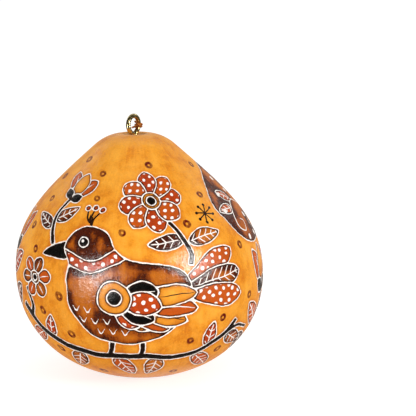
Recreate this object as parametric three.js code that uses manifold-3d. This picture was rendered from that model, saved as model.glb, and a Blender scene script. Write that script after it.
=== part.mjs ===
// A gourd ornament: a whole dried bottle gourd with a brass screw eye turned into its stem end.
// Millimetres, +Z up. The origin is on the table under the middle of the belly, and the carved
// front faces -Y. Inside the hard shell a thin spongy pith stays on the wall, and the dry seeds
// lie loose on its floor, because the gourd is never cut open.
import * as THREE from "three";
import { mergeVertices } from "three/addons/utils/BufferGeometryUtils.js";
import Module from "manifold-3d";

// Gourd outline
const gourdWidth = 80; // across the belly
const gourdHeight = 78.5; // table to the rim round the stem scar
const bellyHeight = 34; // height of the widest ring
const bellyFullness = 2.15; // exponent of the lower curve, where 2 is an ellipse
const baseFlatRadius = 8.5; // outer edge of the flat it stands on
const shoulderRadius = 13.1; // where the sloping shoulder turns over into the crown
const shoulderDrop = 3.7; // how far that ring lies below the top
const shoulderSlope = 1.12; // millimetres outwards for each millimetre down
const bellyHandle = 16.7; // how long the belly stays upright before it leans in
const shoulderHandle = 15.1; // how long the shoulder stays straight
const crownOffset = 1.9; // how far the stem end has grown to the left of the base
const lobeHeight = 0.45; // how far the belly swells in its natural lobes
const lobeTurn = 0.6; // angle of the first lobe from +X, in radians
const ovalShare = 0.6; // share of the swelling that makes it oval, and the rest three-sided

// Stem scar, blossom scar and wall
const scarRadius = 3.9; // rim of the dished scar where the stem broke off
const scarFloorRadius = 2.1;
const scarDepth = 0.9;
const blossomRadius = 3; // hollow under the base where the flower was
const blossomDepth = 0.7;
const sideWall = 3;
const stemWall = 5.4; // the wall is woody and thick under the stem
const floorWall = 3.4;
const roofRing = 1; // least flat ring round the hole, inside the roof
const pithThickness = 1.4;
const pithClearance = 0.3; // between the hard wall and the pith

// Screw eye
const wireDiameter = 1.5;
const eyeInside = 4.2; // clear diameter of the loop
const loopOffset = 0.9; // how far the loop's middle stands to the left of the shank, in its own plane
const shankLength = 9.5; // from the scar's floor to the point
const pointLength = 2.4; // the tapered gimlet point
const shankClearance = 0.3; // pilot hole round the plain shank
const neckLength = 0.2; // from the scar's floor to the underside of the loop
const loopStartAngle = -58; // degrees round the loop, where the bend from the shank joins it
const loopEndAngle = 262; // degrees round the loop, where the cut end stops beside the shank
const loopSideways = 0.35; // how far the cut end stands out of the loop's plane
const eyeTurn = 55; // degrees that the loop is turned from facing front

// Hanging thread, tied round the wire and trimmed
const threadDiameter = 0.6;
const threadClearance = 0.3; // between the winding and the wire
const threadTurns = 2;
const threadPitch = 1.12;
const threadAngle = -14; // degrees round the loop, where the winding sits
const threadTail = 1.5; // length of each cut end
const tailSpread = 41; // degrees that each cut end leans out of the loop's plane

// Seeds
const seedLength = 9;
const seedWidth = 5;
const seedThickness = 2.2;
const seedBroadness = 0.75; // under 1 the widest place moves away from the pointed end
const seedFullness = 0.7; // under 1 the sides bulge
const seedCount = 14;
const seedSpacing = 5.6; // spiral constant of the layer they lie in
const seedTurn = 120; // degrees from one seed's long axis to the next one's
const seedClearance = 0.3; // between a seed and the pith under it

// Facets
const roundSteps = 48;
const lowerSteps = 11;
const upperSteps = 9;
const crownSteps = 4;
const scarSteps = 4;
const wireSteps = 64;
const wireSides = 10;
const loopStep = 16; // degrees between the points that the wire passes through
const threadTurnSteps = 16;
const threadSteps = 72;
const threadSides = 6;
const seedRings = 7;
const seedSides = 10;
const weldDistance = 1e-4;

const wasm = await Module();
wasm.setup();

const deg = Math.PI / 180;
const goldenAngle = Math.PI * (3 - Math.sqrt(5));
const gourdRadius = gourdWidth / 2;
const shankRadius = wireDiameter / 2;
const holeRadius = shankRadius + shankClearance;
const scarFloor = gourdHeight - scarDepth;

const smooth = (t) => {
  const u = Math.min(1, Math.max(0, t));
  return u * u * (3 - 2 * u);
};

// The gourd's outline as [radius, height] from the middle of the base to the middle of the top,
// before the two scars are hollowed out: a superellipse below the belly, a Bezier curve for the
// shoulder and a rounded crown.
function bodyOutline() {
  const n = bellyFullness;
  const start = Math.asin((baseFlatRadius / gourdRadius) ** (n / 2));
  const depth = bellyHeight / Math.cos(start) ** (2 / n);
  const points = [new THREE.Vector2(0, 0)];
  for (let i = 0; i < lowerSteps; i++) {
    const t = start + ((Math.PI / 2 - start) * i) / lowerSteps;
    const r = gourdRadius * Math.sin(t) ** (2 / n);
    points.push(new THREE.Vector2(r, bellyHeight - depth * Math.cos(t) ** (2 / n)));
  }
  const top = gourdHeight - shoulderDrop;
  const shoulder = new THREE.CubicBezierCurve(
    new THREE.Vector2(gourdRadius, bellyHeight),
    new THREE.Vector2(gourdRadius, bellyHeight + bellyHandle),
    new THREE.Vector2(shoulderRadius + shoulderSlope * shoulderHandle, top - shoulderHandle),
    new THREE.Vector2(shoulderRadius, top),
  );
  points.push(...shoulder.getPoints(upperSteps).slice(0, -1));
  const crown = new THREE.QuadraticBezierCurve(
    new THREE.Vector2(shoulderRadius, top),
    new THREE.Vector2(shoulderRadius - shoulderSlope * shoulderDrop, gourdHeight),
    new THREE.Vector2(scarRadius, gourdHeight),
  );
  points.push(...crown.getPoints(crownSteps));
  points.push(new THREE.Vector2(0, gourdHeight));
  return points;
}

const outline = bodyOutline();

// Wall thickness at a height: the floor and the stem end are thicker than the sides.
function wallAt(z) {
  const stem = smooth((z - bellyHeight) / (gourdHeight - shoulderDrop - bellyHeight));
  const floor = 1 - smooth(z / bellyHeight);
  return sideWall + (stemWall - sideWall) * stem + (floorWall - sideWall) * floor;
}

// The outline moved inwards along its normals, listed from the hole in the top down to the axis.
function insetOutline(extra, hole) {
  const moved = outline.map((p, i) => {
    const before = outline[Math.max(0, i - 1)];
    const after = outline[Math.min(outline.length - 1, i + 1)];
    const along = after.clone().sub(before).normalize();
    const depth = wallAt(p.y) + extra;
    return new THREE.Vector2(p.x - along.y * depth, p.y + along.x * depth);
  });
  const floor = moved[0].y;
  const roof = gourdHeight - wallAt(gourdHeight) - extra;
  const within = (p) => p.x > hole + roofRing && p.y > floor && p.y < roof;
  return [
    new THREE.Vector2(hole, roof),
    ...moved.slice(1, -1).filter(within).reverse(),
    new THREE.Vector2(0, floor),
  ];
}

// How far the gourd's middle lies to the right of the origin at a height. The belly stays in the
// middle, and the stem end and the base lean away from it.
function leanAt(z) {
  return crownOffset * (smooth(bellyHeight / gourdHeight) - smooth(z / gourdHeight));
}

// The natural gourd is neither quite round nor quite upright.
function grown(point) {
  const t = Math.min(1, Math.max(0, point.z / gourdHeight));
  const angle = Math.atan2(point.y, point.x);
  const oval = ovalShare * Math.cos(2 * (angle - lobeTurn));
  const threeSided = (1 - ovalShare) * Math.cos(3 * angle + lobeTurn);
  const swell = lobeHeight * Math.sin(Math.PI * t) ** 2 * (oval + threeSided);
  const share = 1 + swell / gourdRadius;
  point.x = point.x * share + leanAt(point.z);
  point.y *= share;
  return point;
}

function grow(geometry) {
  const position = geometry.getAttribute("position");
  const point = new THREE.Vector3();
  for (let i = 0; i < position.count; i++) {
    grown(point.fromBufferAttribute(position, i));
    position.setXYZ(i, point.x, point.y, point.z);
  }
  return geometry;
}

// A profile of [radius, height] points turned round the Z axis.
function turned(profile, steps) {
  return new THREE.LatheGeometry(profile, steps).rotateX(Math.PI / 2);
}

// The hard shell: hollow, with the pilot hole for the screw as its one opening.
function shellGeometry() {
  const profile = [new THREE.Vector2(0, blossomDepth)];
  for (let i = 1; i <= scarSteps; i++) {
    const t = i / scarSteps;
    profile.push(new THREE.Vector2(blossomRadius * t, blossomDepth * (1 - smooth(t))));
  }
  profile.push(...outline.slice(1, -1));
  for (let i = 1; i <= scarSteps; i++) {
    const t = i / scarSteps;
    const r = scarRadius + (scarFloorRadius - scarRadius) * t;
    profile.push(new THREE.Vector2(r, gourdHeight - scarDepth * smooth(t)));
  }
  profile.push(new THREE.Vector2(holeRadius, scarFloor));
  profile.push(...insetOutline(0, holeRadius));
  return grow(turned(profile, roundSteps));
}

// The pith: a thin spongy lining with a torn hole where the screw comes through.
const pithHole = holeRadius + pithClearance;
const pithInside = insetOutline(pithClearance + pithThickness, pithHole);

function pithGeometry() {
  const outside = insetOutline(pithClearance, pithHole).reverse();
  return grow(turned([...outside, ...pithInside], roundSteps));
}

// A closed geometry as a manifold-3d solid.
function solid(geometry) {
  const plain = geometry.clone();
  plain.deleteAttribute("normal");
  plain.deleteAttribute("uv");
  const merged = mergeVertices(plain, weldDistance);
  return new wasm.Manifold(
    new wasm.Mesh({
      numProp: 3,
      vertProperties: merged.getAttribute("position").array,
      triVerts: new Uint32Array(merged.index.array),
    }),
  );
}

function geometryOf(manifold) {
  const mesh = manifold.getMesh();
  const geometry = new THREE.BufferGeometry();
  geometry.setAttribute("position", new THREE.BufferAttribute(mesh.vertProperties, 3));
  geometry.setIndex(new THREE.BufferAttribute(mesh.triVerts, 1));
  geometry.computeVertexNormals();
  return geometry;
}

// A round tube along a curve, closed at both ends.
function tube(curve, diameter, steps, sides) {
  const section = new THREE.Shape().absarc(0, 0, diameter / 2, 0, 2 * Math.PI);
  return new THREE.ExtrudeGeometry(section, {
    steps,
    extrudePath: curve,
    bevelEnabled: false,
    curveSegments: sides / 2,
  });
}

// The screw eye stands in its own frame: the scar's floor is z = 0, and the loop lies in X and Z.
const loopRadius = (eyeInside + wireDiameter) / 2;
const loopMiddle = neckLength + wireDiameter / 2 + loopRadius;

// A point on the loop's centreline. Past the top the wire drifts sideways, so that the cut end
// lies beside the neck.
function onLoop(degrees) {
  const a = degrees * deg;
  const past = smooth((degrees - 90) / (loopEndAngle - 90));
  return new THREE.Vector3(
    loopRadius * Math.cos(a) - loopOffset,
    -loopSideways * past,
    loopMiddle + loopRadius * Math.sin(a),
  );
}

function eyeGeometry() {
  const route = [new THREE.Vector3(0, 0, -wireDiameter), new THREE.Vector3(0, 0, 0)];
  for (let a = loopStartAngle; a <= loopEndAngle; a += loopStep) route.push(onLoop(a));
  const wire = tube(new THREE.CatmullRomCurve3(route), wireDiameter, wireSteps, wireSides);
  const shank = turned(
    [
      new THREE.Vector2(0, -shankLength),
      new THREE.Vector2(shankRadius, pointLength - shankLength),
      new THREE.Vector2(shankRadius, -wireDiameter / 2),
      new THREE.Vector2(0, -wireDiameter / 2),
    ],
    wireSides * 2,
  );
  return geometryOf(solid(wire).add(solid(shank)));
}

// The thread winds round the right side of the loop, and its two cut ends stand inside it.
const windingRadius = (wireDiameter + threadDiameter) / 2 + threadClearance;

function threadRoute() {
  const middle = onLoop(threadAngle);
  const along = new THREE.Vector3(-Math.sin(threadAngle * deg), 0, Math.cos(threadAngle * deg));
  const out = new THREE.Vector3(Math.cos(threadAngle * deg), 0, Math.sin(threadAngle * deg));
  const aside = new THREE.Vector3(0, 1, 0);
  const winding = (turn) => {
    const a = Math.PI + turn * 2 * Math.PI;
    return middle
      .clone()
      .addScaledVector(along, (threadTurns / 2 - turn) * threadPitch)
      .addScaledVector(out, windingRadius * Math.cos(a))
      .addScaledVector(aside, windingRadius * Math.sin(a));
  };
  const cutEnd = (from, side) =>
    from
      .clone()
      .addScaledVector(out, -threadTail * Math.cos(tailSpread * deg))
      .addScaledVector(aside, side * threadTail * Math.sin(tailSpread * deg));
  const route = [cutEnd(winding(0), 1)];
  const steps = threadTurnSteps * threadTurns;
  for (let i = 0; i <= steps; i++) route.push(winding((i / steps) * threadTurns));
  route.push(cutEnd(winding(threadTurns), -1));
  return new THREE.CatmullRomCurve3(route);
}

// The smallest gap between stretches of the thread that lie over half a turn apart.
function leastGap(curve, diameter) {
  const samples = 200;
  const points = curve.getSpacedPoints(samples);
  const skip = Math.ceil((Math.PI * windingRadius * samples) / curve.getLength());
  let least = Infinity;
  for (let i = 0; i < points.length; i++)
    for (let j = i + skip; j < points.length; j++)
      least = Math.min(least, points[i].distanceTo(points[j]) - diameter);
  return least;
}

// A flat seed lying in X and Y, pointed at one end and broad at the other.
function seedGeometry() {
  const profile = [new THREE.Vector2(0, -seedLength / 2)];
  for (let i = 1; i < seedRings; i++) {
    const t = i / seedRings;
    const r = (seedWidth / 2) * Math.sin(Math.PI * t ** seedBroadness) ** seedFullness;
    profile.push(new THREE.Vector2(r, seedLength * (t - 0.5)));
  }
  profile.push(new THREE.Vector2(0, seedLength / 2));
  return new THREE.LatheGeometry(profile, seedSides).scale(1, 1, seedThickness / seedWidth);
}

// Height and slope of the pith's floor at a radius.
function floorAt(radius) {
  for (let i = pithInside.length - 1; i > 0; i--) {
    const inner = pithInside[i];
    const outer = pithInside[i - 1];
    if (radius <= outer.x) {
      const slope = (outer.y - inner.y) / (outer.x - inner.x);
      return { height: inner.y + slope * (radius - inner.x), slope };
    }
  }
  throw new Error("no floor at radius " + radius);
}

const skin = new THREE.MeshStandardMaterial({ color: 0xe0973f, roughness: 0.38, metalness: 0 });
const spongyPith = new THREE.MeshStandardMaterial({ color: 0xe6dcc0, roughness: 0.95, metalness: 0 });
const drySeed = new THREE.MeshStandardMaterial({ color: 0xb79a6c, roughness: 0.8, metalness: 0 });
const brass = new THREE.MeshStandardMaterial({ color: 0xcdb56a, roughness: 0.22, metalness: 1 });
const waxedThread = new THREE.MeshStandardMaterial({ color: 0x9a4a17, roughness: 0.75, metalness: 0 });

function named(name, geometry, material) {
  const mesh = new THREE.Mesh(geometry, material);
  mesh.name = name;
  return mesh;
}

// A seed lying on the floor at a radius, tilted with the slope and lowered until the nearest
// point of it is one clearance above the pith.
function lyingSeed(index) {
  const radius = seedSpacing * Math.sqrt(index + 0.25); // the first one is a little off the middle
  const { height, slope } = floorAt(radius);
  const seed = named(`seed_${String(index + 1).padStart(2, "0")}`, seedGeometry(), drySeed);
  seed.rotation.z = index * seedTurn * deg;
  const onFloor = new THREE.Group();
  onFloor.rotation.y = -Math.atan(slope);
  onFloor.position.set(radius, 0, height);
  onFloor.add(seed);
  const place = new THREE.Group();
  place.rotation.z = index * goldenAngle;
  place.add(onFloor);
  place.updateMatrixWorld(true);
  const position = seed.geometry.getAttribute("position");
  const point = new THREE.Vector3();
  let least = Infinity;
  for (let i = 0; i < position.count; i++) {
    point.fromBufferAttribute(position, i).applyMatrix4(seed.matrixWorld);
    least = Math.min(least, point.z - floorAt(Math.hypot(point.x, point.y)).height);
  }
  place.position.set(leanAt(height), 0, seedClearance - least);
  return place;
}

const ornament = new THREE.Group();
ornament.add(named("gourd_shell", shellGeometry(), skin));
ornament.add(named("pith_lining", pithGeometry(), spongyPith));

const stemEnd = new THREE.Group();
stemEnd.position.set(leanAt(gourdHeight), 0, scarFloor);
stemEnd.rotation.z = eyeTurn * deg;
stemEnd.add(named("screw_eye", eyeGeometry(), brass));
const thread = threadRoute();
stemEnd.add(named("thread_knot", tube(thread, threadDiameter, threadSteps, threadSides), waxedThread));
ornament.add(stemEnd);
console.log(
  `thread: length ${thread.getLength().toFixed(1)} mm,`,
  `least gap to itself ${leastGap(thread, threadDiameter).toFixed(2)} mm`,
);

for (let i = 0; i < seedCount; i++) ornament.add(lyingSeed(i));

export default ornament;
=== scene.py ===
import bpy
import numpy as np
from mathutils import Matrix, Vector


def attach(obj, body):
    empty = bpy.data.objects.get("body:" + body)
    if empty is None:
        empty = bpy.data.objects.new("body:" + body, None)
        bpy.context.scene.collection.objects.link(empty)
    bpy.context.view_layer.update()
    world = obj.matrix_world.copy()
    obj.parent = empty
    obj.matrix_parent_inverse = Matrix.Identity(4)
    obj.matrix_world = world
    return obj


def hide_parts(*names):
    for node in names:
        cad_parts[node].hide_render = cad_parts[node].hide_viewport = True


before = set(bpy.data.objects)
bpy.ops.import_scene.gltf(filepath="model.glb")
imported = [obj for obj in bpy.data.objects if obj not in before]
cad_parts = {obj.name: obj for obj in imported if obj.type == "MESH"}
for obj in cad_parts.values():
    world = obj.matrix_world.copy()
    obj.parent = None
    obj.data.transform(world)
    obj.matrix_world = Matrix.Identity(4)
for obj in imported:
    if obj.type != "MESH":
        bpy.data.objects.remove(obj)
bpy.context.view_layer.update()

# Lengths are millimetres, and each mesh is written in metres at the end. Dictionaries give angles in degrees.


def linear(hexColour):
    # sRGB hex to the linear colour that a shader takes
    parts = [int(hexColour[i:i + 2], 16) / 255 for i in (0, 2, 4)]
    return [p / 12.92 if p <= 0.04045 else ((p + 0.055) / 1.055) ** 2.4 for p in parts] + [1.0]


def smooth(t):
    # eases from 0 to 1 as t does
    u = np.clip(t, 0, 1)
    return u * u * (3 - 2 * u)


def unit(vectors):
    # each vector divided by its length
    return vectors / np.linalg.norm(vectors, axis=-1, keepdims=True)


def aroundOnce(count):
    # angles evenly round a circle
    return np.linspace(0, 2 * np.pi, count, endpoint=False)


def runOf(line):
    # how far along the line each of its points lies: the lengths of its steps added up
    return np.r_[0, np.cumsum(np.linalg.norm(np.diff(line, axis=0), axis=1))]


def evenly(line, count):
    # the same line as count points, equally far apart along it
    run = runOf(line)
    where = np.linspace(0, run[-1], count)
    return np.stack([np.interp(where, run, line[:, k]) for k in range(line.shape[1])], 1)


def bezier(corners, count):
    # halves the corner polygon's edges at t until one point is left
    t = np.linspace(0, 1, count)[:, None]
    layers = [np.array(c, float) + 0 * t for c in corners]
    while len(layers) > 1:
        layers = [a + (b - a) * t for a, b in zip(layers, layers[1:])]
    return layers[0]


def curveThrough(points, per, closed=False):
    # Catmull-Rom curve: a cubic between each two points, its slopes half of the neighbours' step
    p = np.array(points, float)
    if closed:
        p = np.vstack([p[-1:], p, p[:2]])
    else:
        p = np.vstack([2 * p[:1] - p[1:2], p, 2 * p[-1:] - p[-2:-1]])
    t = np.linspace(0, 1, per, endpoint=False)[None, :, None]
    a, b, c, d = p[:-3, None], p[1:-2, None], p[2:-1, None], p[3:, None]
    body = 0.5 * (2 * b + (c - a) * t + (2 * a - 5 * b + 4 * c - d) * t ** 2
                  + (3 * b - a - 3 * c + d) * t ** 3).reshape(-1, p.shape[1])
    return body if closed else np.vstack([body, p[-2:-1]])


def tubeGrid(line, radius, up):
    # rings round a line: at each point a circle square to the line, its radius given for each ring and column
    tangent = unit(np.gradient(line, axis=0))
    side = unit(np.cross(tangent, np.array(up)))
    other = np.cross(tangent, side)
    turn = aroundOnce(radius.shape[1])[None, :, None]
    return line[:, None] + radius[..., None] * (side[:, None] * np.cos(turn) + other[:, None] * np.sin(turn))


def addObject(name, data):
    piece = bpy.data.objects.new(name, data)
    bpy.context.scene.collection.objects.link(piece)
    return piece


def addTube(name, grid, rowShare):
    # a closed surface from rings of points: quads between the rings and a fan over each end; its texture map
    # has the turn across and rowShare, from 0 to 1, upwards
    rows, columns = grid.shape[:2]
    here = np.arange(rows * columns).reshape(rows, columns)
    beside = np.roll(here, -1, axis=1)
    quads = np.stack([here[:-1], beside[:-1], beside[1:], here[1:]], -1).reshape(-1, 4)
    startPole, endPole = np.full(columns, rows * columns), np.full(columns, rows * columns + 1)
    fans = [np.stack([beside[0], here[0], startPole], -1), np.stack([here[-1], beside[-1], endPole], -1)]
    points = np.vstack([grid.reshape(-1, 3), grid[0].mean(0), grid[-1].mean(0)]) / 1000
    corners = np.concatenate([part.ravel() for part in (quads, *fans)])
    sizes = np.concatenate([np.full(len(quads), 4), np.full(2 * columns, 3)])
    mesh = bpy.data.meshes.new(name)
    mesh.vertices.add(len(points))
    mesh.vertices.foreach_set("co", points.ravel())
    mesh.loops.add(len(corners))
    mesh.loops.foreach_set("vertex_index", corners)
    mesh.polygons.add(len(sizes))
    mesh.polygons.foreach_set("loop_start", np.concatenate([[0], np.cumsum(sizes)[:-1]]))
    mesh.polygons.foreach_set("use_smooth", np.ones(len(sizes), bool))
    mesh.update(calc_edges=True)
    left = np.broadcast_to(np.arange(columns) / columns, (rows, columns))
    right, share = left + 1 / columns, np.broadcast_to(np.array(rowShare)[:, None], (rows, columns))
    middle, low, high = left[0] + 0.5 / columns, share[0], share[-1]
    across = [(left[:-1], right[:-1], right[1:], left[1:]), (right[0], left[0], middle),
              (left[0], right[0], middle)]
    upward = [(share[:-1], share[:-1], share[1:], share[1:]), (low, low, 0 * low), (high, high, 0 * high + 1)]
    flat = [np.concatenate([np.stack(part, -1).ravel() for part in parts]) for parts in (across, upward)]
    mesh.uv_layers.new(name="OFBake").data.foreach_set("uv", np.stack(flat, 1).ravel())
    return addObject(name, mesh)


def addNode(tree, kind, inputs=(), out=0, **settings):
    # adds a node with its settings, fills or links its inputs in order or, from a dictionary, by name, and
    # gives back one output, or all of them for None
    node = tree.nodes.new("ShaderNode" + kind)
    for name, value in settings.items():
        setattr(node, name, value)
    for socket, value in inputs.items() if isinstance(inputs, dict) else enumerate(inputs):
        if isinstance(value, bpy.types.NodeSocket):
            tree.links.new(value, node.inputs[socket])
        else:
            node.inputs[socket].default_value = value
    return node.outputs if out is None else node.outputs[out] if len(node.outputs) else node


def calc(tree, operation, *values, clamp=False):
    # one step of arithmetic, on one, two or three values
    return addNode(tree, "Math", values, operation=operation, use_clamp=clamp)


def ramp(tree, *values, bend="LINEAR"):
    # value, from, from, to and to: carries the value from one pair of limits to the other, else to 0 and 1
    return addNode(tree, "MapRange", values, interpolation_type=bend)


def ease(tree, *values):
    # the same, with a soft start and end
    return ramp(tree, *values, bend="SMOOTHSTEP")


def newMaterial(name):
    # an empty material, its nodes, and the place on the piece in millimetres
    material = bpy.data.materials.new(name)
    material.use_nodes = True
    tree = material.node_tree
    tree.nodes.clear()
    place = addNode(tree, "TexCoord", out="Object")
    return material, tree, addNode(tree, "VectorMath", {0: place, "Scale": 1000.0}, operation="SCALE")


def coatWith(material, shader, pieces):
    # ends the material with its shader and lays it on the pieces
    addNode(material.node_tree, "OutputMaterial", {"Surface": shader})
    for piece in pieces:
        piece.data.materials.clear()
        piece.data.materials.append(material)


print("camera, light and floor")
studio = {
    "lens": 173.7, "sensor": 36.0, "nearest": 10.0, "distance": 650.0, "elevation": 10.0,
    "aim": (22.35, 0.0, 54.1), "boxAim": (0.0, 0.0, 40.0), "ambient": 0.62,
    "boxes": [  # azimuth, elevation, distance, width, height, watts, seen in gloss
        (-34.0, 3.0, 620.0, 130.0, 170.0, 1.65, True),
        (53.0, 15.0, 620.0, 130.0, 170.0, 1.9, True),
        (0.0, 84.0, 700.0, 420.0, 420.0, 0.33, False),
        (-136.0, 35.0, 620.0, 110.0, 110.0, 0.08, True),
        (128.0, 30.0, 620.0, 110.0, 110.0, 0.08, True),
    ],
    "floorHalf": 4000.0, "floorColour": "F2F1EF", "floorShadow": "B6B5B3", "floorGlow": 0.77,
    "floorBounce": 0.08, "roomColour": "4A4844", "roomSides": 32, "roomRadius": 1000.0, "roomHigh": 3000.0,
    "roomThinsFrom": 105.0, "roomThin": 0.5, "clothRadius": 20.0, "clothHeight": 0.3,
    "ceilingHalf": 1500.0, "ceilingFrom": -1000.0, "ceilingTo": 1700.0,
}
white = linear("FFFFFF")


def direction(azimuth, elevation):
    # azimuth 0 is the camera's side, -Y, and 90 is +X
    a, e = np.radians(azimuth), np.radians(elevation)
    return np.array([np.sin(a) * np.cos(e), -np.cos(a) * np.cos(e), np.sin(e)])


def standAt(piece, aim, azimuth, elevation, distance):
    # puts the camera or a lamp at a distance from the aim, facing it
    away = direction(azimuth, elevation)
    piece.location = (np.array(aim) + distance * away) / 1000
    piece.rotation_euler = Vector(away).to_track_quat("Z", "Y").to_euler()


def seenItself(tree):
    # 1 for the rays that show a surface, straight or in gloss and glass, and 0 for those that carry its light
    path = addNode(tree, "LightPath", out=None)
    seen = path["Is Camera Ray"]
    for ray in ("Is Glossy Ray", "Is Transmission Ray"):
        seen = calc(tree, "ADD", seen, path[ray], clamp=True)
    return seen


def addStage(name, points, faces):
    # a sheet of the stage
    mesh = bpy.data.meshes.new(name)
    mesh.from_pydata([Vector(point) / 1000 for point in points], [], faces)
    sheet = addObject(name, mesh)
    return sheet


camera = addObject("camera", bpy.data.cameras.new("camera"))
camera.data.lens = studio["lens"]
camera.data.sensor_width = studio["sensor"]
camera.data.clip_start = studio["nearest"] / 1000
standAt(camera, studio["aim"], 0, studio["elevation"], studio["distance"])
bpy.context.scene.camera = camera

for azimuth, elevation, distance, width, height, watts, inGloss in studio["boxes"]:
    box = addObject("softbox", bpy.data.lights.new("softbox", "AREA"))
    box.data.shape = "RECTANGLE"
    box.data.size = width / 1000
    box.data.size_y = height / 1000
    box.data.energy = watts
    standAt(box, studio["boxAim"], azimuth, elevation, distance)
    box.visible_camera = False
    box.visible_glossy = inGloss

world = bpy.data.worlds.new("whiteStudio")
world.use_nodes = True
tree = world.node_tree
tree.nodes.clear()
strength = ramp(tree, seenItself(tree), 0.0, 1.0, studio["ambient"], 1.0)
glow = addNode(tree, "Background", (white, strength))
addNode(tree, "OutputWorld", (glow,))
bpy.context.scene.world = world

half = studio["floorHalf"]
square = [(0, 1, 2, 3)]
floor = addStage("floor", [(-half, -half, 0), (half, -half, 0), (half, half, 0), (-half, half, 0)], square)
# white seamless paper, dead matt, burnt out to white but for shadows
paper, tree = newMaterial("mattStudioPaper")[:2]
shaders = []
for colour, light in (("floorColour", "floorBounce"), ("floorShadow", "floorGlow")):
    matt = addNode(tree, "BsdfDiffuse", (linear(studio[colour]),))
    glow = addNode(tree, "Emission", (white, studio[light]))
    shaders.append(addNode(tree, "AddShader", (matt, glow)))
coatWith(paper, addNode(tree, "MixShader", (seenItself(tree), *shaders)), [floor])

# The unlit room round the table: black cloth, which also lies on the table round the gourd, and a black sheet
# over it. It thins out behind the gourd, where white paper hangs. Only gloss sees it.
sides = studio["roomSides"]
turn = np.radians(np.linspace(-180, 180, sides + 1))
points = np.vstack([np.c_[studio[radius] * np.sin(turn), -studio[radius] * np.cos(turn),
                          0 * turn + studio[height]] for radius, height in (
    ("clothRadius", "clothHeight"), ("roomRadius", "clothHeight"), ("roomRadius", "roomHigh"))])
corner = np.r_[:sides, sides + 1:2 * sides + 1]
walls = np.stack([corner, corner + 1, corner + sides + 2, corner + sides + 1], 1)
room = addStage("darkRoom", points, walls.tolist())
half = studio["ceilingHalf"]
ceiling = addStage("darkCeiling", [(x, studio[y], studio["roomHigh"]) for x, y in (
    (-half, "ceilingFrom"), (-half, "ceilingTo"), (half, "ceilingTo"), (half, "ceilingFrom"))], square)
cloth, tree, mm = newMaterial("blackStudioCloth")
place = addNode(tree, "SeparateXYZ", (mm,), None)
toFront = calc(tree, "MULTIPLY", place[1], -1.0)
turn = calc(tree, "ARCTAN2", place[0], toFront)
turn = calc(tree, "ABSOLUTE", turn)
thin = ease(tree, turn, np.radians(studio["roomThinsFrom"]), np.pi, 0.0, studio["roomThin"])
matt = addNode(tree, "BsdfDiffuse", (linear(studio["roomColour"]),))
coatWith(cloth, addNode(tree, "MixShader", (thin, matt, addNode(tree, "BsdfTransparent"))), [room, ceiling])
for part in (room, ceiling):
    part.visible_camera = part.visible_diffuse = part.visible_shadow = part.visible_transmission = False

print("gourd skin: its form")
gourd = {
    "width": 80.0, "height": 78.5, "bellyHeight": 34.0, "bellyFullness": 2.15, "baseFlat": 8.5,
    "shoulderRadius": 13.1, "shoulderDrop": 3.7, "shoulderSlope": 1.12,
    "bellyHandle": 16.7, "shoulderHandle": 15.1, "crownOffset": 1.9,
    "lobeHeight": 0.45, "lobeTurn": 0.6, "ovalShare": 0.6,
    "scarRadius": 3.9, "scarFloor": 2.1, "scarDepth": 0.9, "blossomRadius": 3.0, "blossomDepth": 0.7,
    "sideWall": 3.0, "stemWall": 5.4, "floorWall": 3.4, "floorHole": 0.4, "holeRadius": 1.05, "holeRim": 1.0,
    "columns": 384, "outerRows": 232, "innerRows": 22, "longSteps": 500, "crownSteps": 120, "shortSteps": 30,
    "outerShare": 0.95,
}


def gourdOutline():
    # radius and height from the flat base up to the scar: a superellipse under the belly, one Bezier curve
    # for the shoulder and one for the crown
    half, n, belly = gourd["width"] / 2, gourd["bellyFullness"], gourd["bellyHeight"]
    start = np.arcsin((gourd["baseFlat"] / half) ** (n / 2))
    depth = belly / np.cos(start) ** (2 / n)
    t = np.linspace(start, np.pi / 2, gourd["longSteps"])
    lower = np.stack([half * np.sin(t) ** (2 / n), belly - depth * np.abs(np.cos(t)) ** (2 / n)], 1)
    ring, slope = gourd["shoulderRadius"], gourd["shoulderSlope"]
    height, drop, handle = gourd["height"], gourd["shoulderDrop"], gourd["shoulderHandle"]
    top = height - drop
    shoulder = bezier([(half, belly), (half, belly + gourd["bellyHandle"]),
                       (ring + slope * handle, top - handle), (ring, top)], gourd["longSteps"])
    crown = bezier([(ring, top), (ring - slope * drop, height), (gourd["scarRadius"], height)],
                   gourd["crownSteps"])
    return np.vstack([lower, shoulder[1:], crown[1:]])


def gourdProfile():
    # the whole closed section: blossom hollow, outline, stem scar, screw hole and the inner wall, which lies
    # the wall's thickness inside the outline
    outline, height, belly = gourdOutline(), gourd["height"], gourd["bellyHeight"]
    t = np.linspace(0, 1, gourd["shortSteps"])
    blossom = np.stack([gourd["blossomRadius"] * t, gourd["blossomDepth"] * (1 - smooth(t))], 1)[1:]
    scar = np.stack([gourd["scarRadius"] + (gourd["scarFloor"] - gourd["scarRadius"]) * t,
                     height - gourd["scarDepth"] * smooth(t)], 1)[1:]
    hole = np.array([(gourd["holeRadius"], height - gourd["scarDepth"])])
    outer = evenly(np.vstack([blossom, outline, scar, hole]), gourd["outerRows"])
    slope = unit(np.gradient(outline, axis=0))
    inward = np.stack([-slope[:, 1], slope[:, 0]], 1)
    z, side = outline[:, 1:], gourd["sideWall"]
    stemShare = smooth((z - belly) / (height - gourd["shoulderDrop"] - belly))
    wall = side + (gourd["stemWall"] - side) * stemShare
    wall = wall + (gourd["floorWall"] - side) * (1 - smooth(z / belly))
    inner = (outline + inward * wall)[::-1]
    roof = height - gourd["stemWall"]
    inner = inner[(inner[:, 0] > gourd["holeRadius"] + gourd["holeRim"]) & (inner[:, 1] < roof)]
    inner = np.vstack([(gourd["holeRadius"], roof), inner, (gourd["floorHole"], gourd["floorWall"])])
    return outer, evenly(inner, gourd["innerRows"])


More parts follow.
